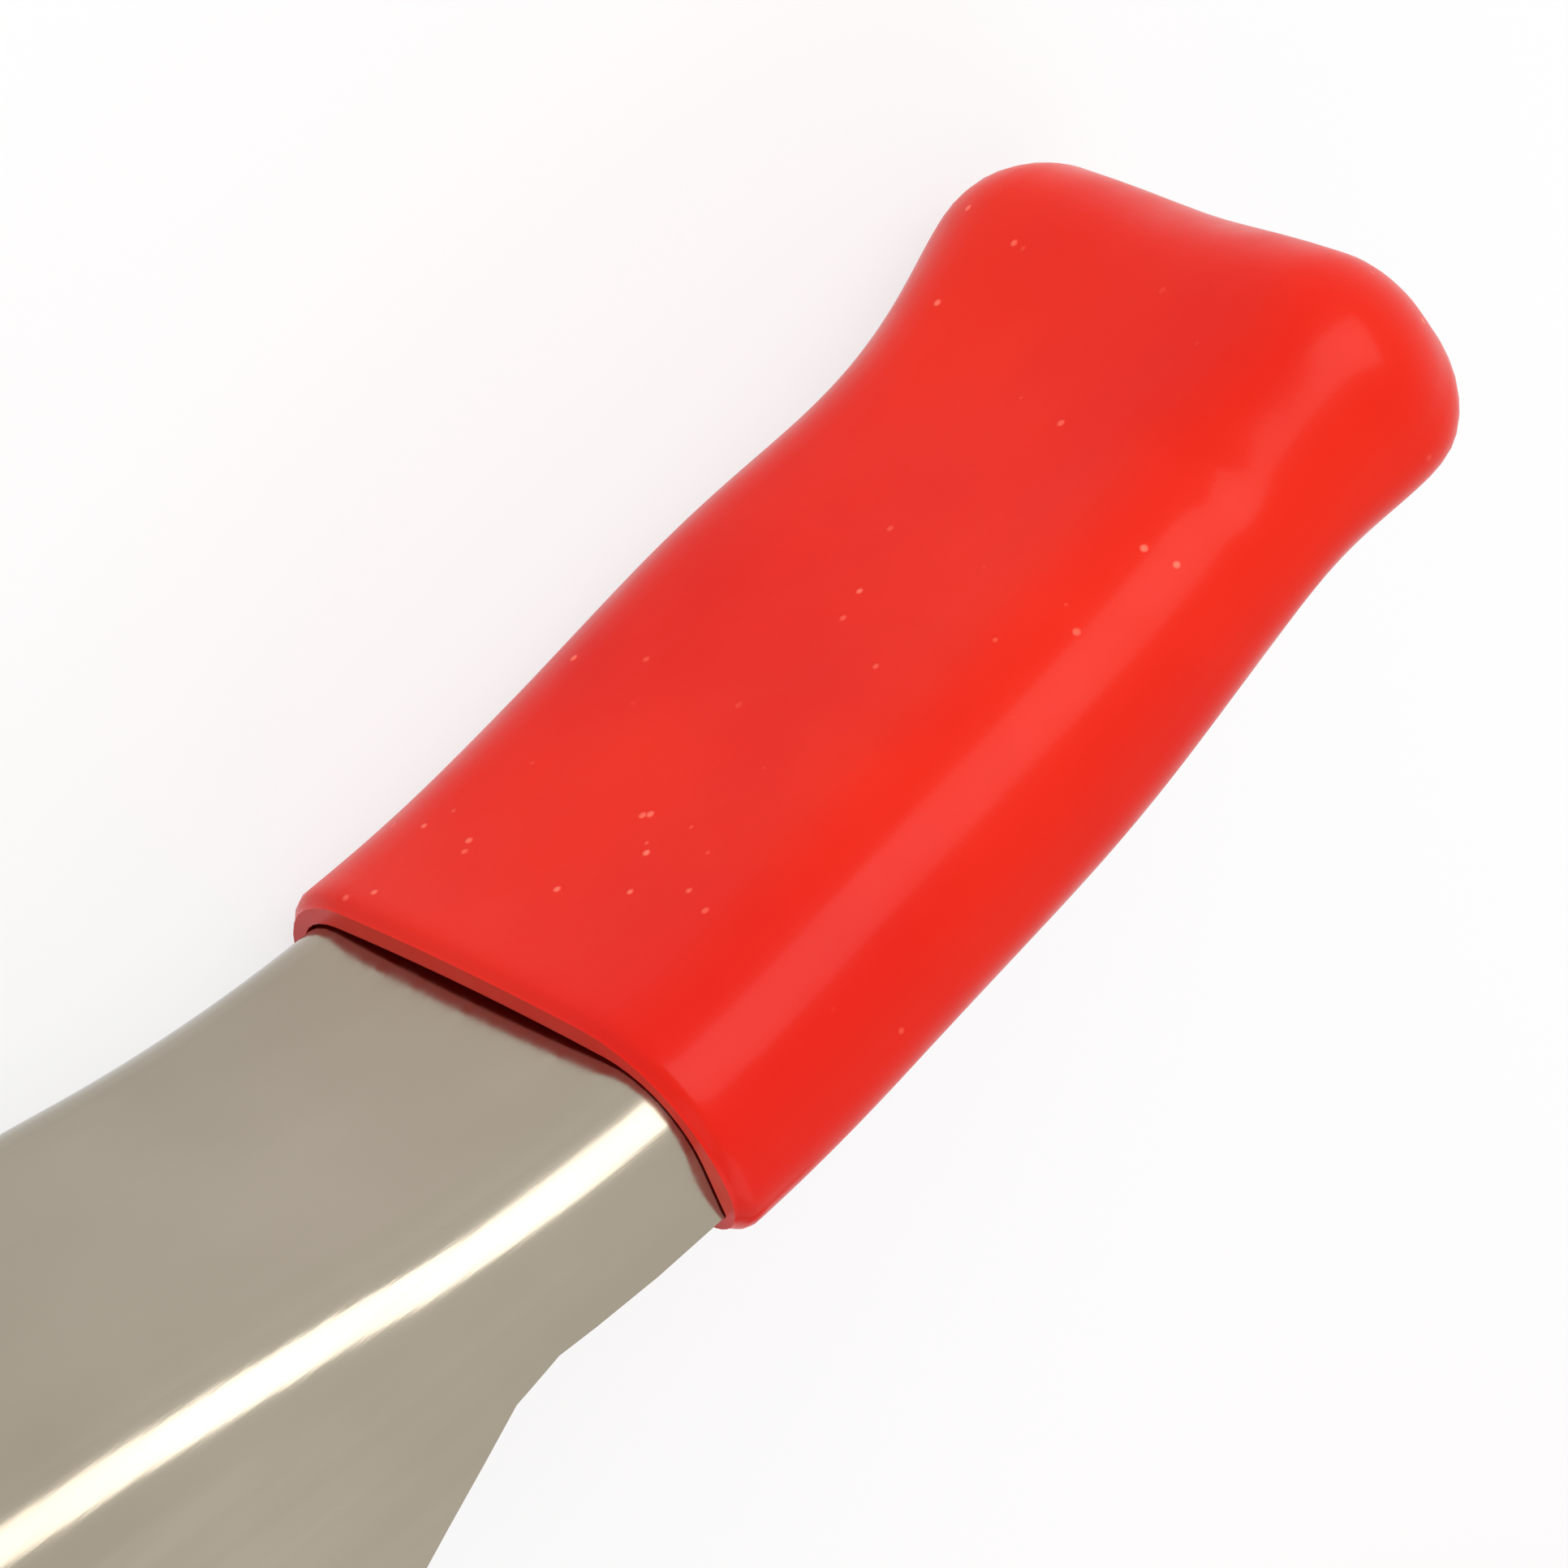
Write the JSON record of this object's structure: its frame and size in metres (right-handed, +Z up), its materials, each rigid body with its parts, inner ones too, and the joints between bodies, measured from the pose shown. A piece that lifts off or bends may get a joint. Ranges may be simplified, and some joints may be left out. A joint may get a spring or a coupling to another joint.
{
  "type": "spring loaded kitchen tongs",
  "caption": "Spring-open kitchen tongs: bowed steel channel arms, red slip-on tip sleeves, hinge pin, torsion springs and a pull-tab lock.",
  "frame": {"origin": "on the surface that the tongs lie on, below the middle of their box with the arms open", "axes": "+X along the tongs from the hinge end to the tips, +Z up along the hinge pin, +Y towards the outer arm"},
  "size_m": [0.2535, 0.108, 0.0268],
  "materials": {
    "polished_steel": "polished stainless steel",
    "spring_wire": "drawn spring wire",
    "red_sleeve": "glossy dipped vinyl",
    "red_tab": "glossy moulded plastic",
    "nylon": "natural nylon"
  },
  "bodies": {
    "outer_arm": {"outer_arm": "polished_steel", "outer_tip_core": "nylon", "outer_tip_sleeve": "red_sleeve", "pivot_pin": "polished_steel", "pivot_washer": "polished_steel", "lower_spring": "spring_wire", "upper_spring": "spring_wire"},
    "inner_arm": {"inner_arm": "polished_steel", "inner_tip_core": "nylon", "inner_tip_sleeve": "red_sleeve"},
    "hub": {"lower_spring_sleeve": "nylon", "upper_spring_sleeve": "nylon"},
    "lock": {"lock_slider": "polished_steel", "lock_bar": "polished_steel", "pull_tab": "red_tab", "tab_rivets": "polished_steel"}
  },
  "joints": [
    {"name": "arm_hinge", "type": "hinge", "parent": "outer_arm", "child": "inner_arm", "pos_m": [-0.08708, 0, 0.01342], "axis": [0, 0, 1], "range_deg": [0, 24], "stiffness_Nm_per_rad": 0.6, "springref_deg": -20.05, "deforming": ["lower_spring", "upper_spring"]},
    {"name": "hub_turn", "type": "hinge", "parent": "outer_arm", "child": "hub", "pos_m": [-0.08708, 0, 0.01342], "axis": [0, 0, 1], "range_deg": [0, 12]},
    {"name": "lock_pull", "type": "slide", "parent": "hub", "child": "lock", "axis": [-1, 0, 0], "range_m": [0, 0.008]}
  ],
  "couplings": [
    {"joint": "hub_turn", "follows": "arm_hinge", "ratio": 0.5}
  ]
}
